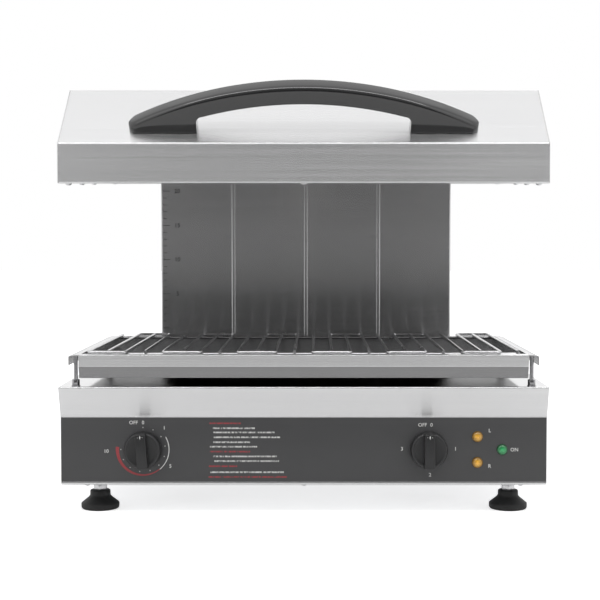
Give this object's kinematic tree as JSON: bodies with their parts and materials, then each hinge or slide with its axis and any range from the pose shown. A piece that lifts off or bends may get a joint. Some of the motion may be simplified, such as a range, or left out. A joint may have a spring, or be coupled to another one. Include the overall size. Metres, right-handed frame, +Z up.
{
  "type": "cheese melter",
  "caption": "Rise-and-fall cheese melter: a heated hood slides on a rear tower over a wire rack and drip tray, above a base with a timer dial, a mode dial and signal lamps.",
  "frame": {"origin": "centre of the bounding box at floor level, under the feet", "axes": "+Z up, -Y towards the user (front panel and handle), +X to the right seen from the front"},
  "size_m": [0.6, 0.523, 0.5335],
  "materials": {
    "stainless_brushed": "brushed stainless sheet",
    "panel_coating": "fine satin dark grey coating",
    "plated_steel": "plain plated steel",
    "bright_steel": "bright plated steel",
    "reflector_steel": "polished reflector sheet",
    "rack_wire": "polished stainless wire",
    "polished_rod": "hard chromed and polished",
    "strut_paint": "smooth black paint",
    "handle_plastic": "smooth black, semi-gloss",
    "knob_plastic": "smooth black, semi-gloss",
    "switch_plastic": "matt black",
    "gland_plastic": "matt black",
    "foot_rubber": "matt black",
    "terminal_ceramic": "unglazed pale ceramic",
    "fibre_board": "pressed mineral fibre",
    "element_sheath": "heat-darkened alloy tube",
    "slide_bronze": "oiled bearing bronze",
    "lens_amber": "clear amber plastic",
    "lens_green": "clear green plastic"
  },
  "bodies": {
    "base": {"base_housing": "stainless_brushed", "control_panel": "panel_coating", "base_bottom_plate": "plated_steel", "base_rear_panel": "stainless_brushed", "base_screws": "bright_steel", "foot_inserts": "plated_steel", "terminal_block": "terminal_ceramic", "cable_gland": "gland_plastic", "timer_mechanism": "switch_plastic", "mode_switch": "switch_plastic", "spindle_nuts": "bright_steel", "lamp_lens_left": "lens_amber", "lamp_lens_right": "lens_amber", "lamp_lens_power": "lens_green", "lamp_bodies": "switch_plastic", "tower_front_cover": "stainless_brushed", "tower_rear_cover": "stainless_brushed", "tower_cap": "stainless_brushed", "tower_foot_plate": "plated_steel", "tower_head_plate": "plated_steel", "tower_screws": "bright_steel", "guide_rods": "polished_rod", "strut_cylinders": "strut_paint", "rail_left": "stainless_brushed", "rail_right": "stainless_brushed", "rail_studs": "bright_steel", "rail_nuts": "bright_steel"},
    "hood": {"hood_wrap": "stainless_brushed", "hood_side_left": "stainless_brushed", "hood_side_right": "stainless_brushed", "hood_back": "stainless_brushed", "hood_reflector": "reflector_steel", "hood_insulation": "fibre_board", "heating_element_left": "element_sheath", "heating_element_right": "element_sheath", "element_brackets": "plated_steel", "element_terminals": "terminal_ceramic", "hood_screws": "bright_steel", "handle": "handle_plastic", "handle_screws": "bright_steel", "carriage": "plated_steel", "slide_bushes": "slide_bronze", "strut_rods": "polished_rod"},
    "tray": {"drip_tray": "stainless_brushed"},
    "rack": {"wire_rack": "rack_wire"},
    "timer_dial": {"timer_knob": "knob_plastic", "timer_spindle": "bright_steel"},
    "mode_dial": {"mode_knob": "knob_plastic", "mode_spindle": "bright_steel"},
    "foot_front_left": {"foot_pad_front_left": "foot_rubber", "foot_stud_front_left": "bright_steel"},
    "foot_front_right": {"foot_pad_front_right": "foot_rubber", "foot_stud_front_right": "bright_steel"},
    "foot_rear_left": {"foot_pad_rear_left": "foot_rubber", "foot_stud_rear_left": "bright_steel"},
    "foot_rear_right": {"foot_pad_rear_right": "foot_rubber", "foot_stud_rear_right": "bright_steel"}
  },
  "joints": [
    {"name": "hood_lift", "type": "slide", "parent": "base", "child": "hood", "axis": [0, 0, 1], "range_m": [-0.2, 0]},
    {"name": "tray_slide", "type": "slide", "parent": "base", "child": "tray", "axis": [0, -1, 0], "range_m": [0, 0.3]},
    {"name": "rack_lift", "type": "slide", "parent": "tray", "child": "rack", "axis": [0, 0, 1], "range_m": [0, 0.15]},
    {"name": "timer_turn", "type": "hinge", "parent": "base", "child": "timer_dial", "pos_m": [-0.198, -0.24354, 0.082], "axis": [0, 1, 0], "range_deg": [0, 281]},
    {"name": "mode_turn", "type": "hinge", "parent": "base", "child": "mode_dial", "pos_m": [0.154, -0.24354, 0.082], "axis": [0, 1, 0], "range_deg": [0, 270]},
    {"name": "foot_front_left_screw", "type": "slide", "parent": "base", "child": "foot_front_left", "axis": [0, 0, -1], "range_m": [0, 0.01]},
    {"name": "foot_front_right_screw", "type": "slide", "parent": "base", "child": "foot_front_right", "axis": [0, 0, -1], "range_m": [0, 0.01]},
    {"name": "foot_rear_left_screw", "type": "slide", "parent": "base", "child": "foot_rear_left", "axis": [0, 0, -1], "range_m": [0, 0.01]},
    {"name": "foot_rear_right_screw", "type": "slide", "parent": "base", "child": "foot_rear_right", "axis": [0, 0, -1], "range_m": [0, 0.01]}
  ]
}
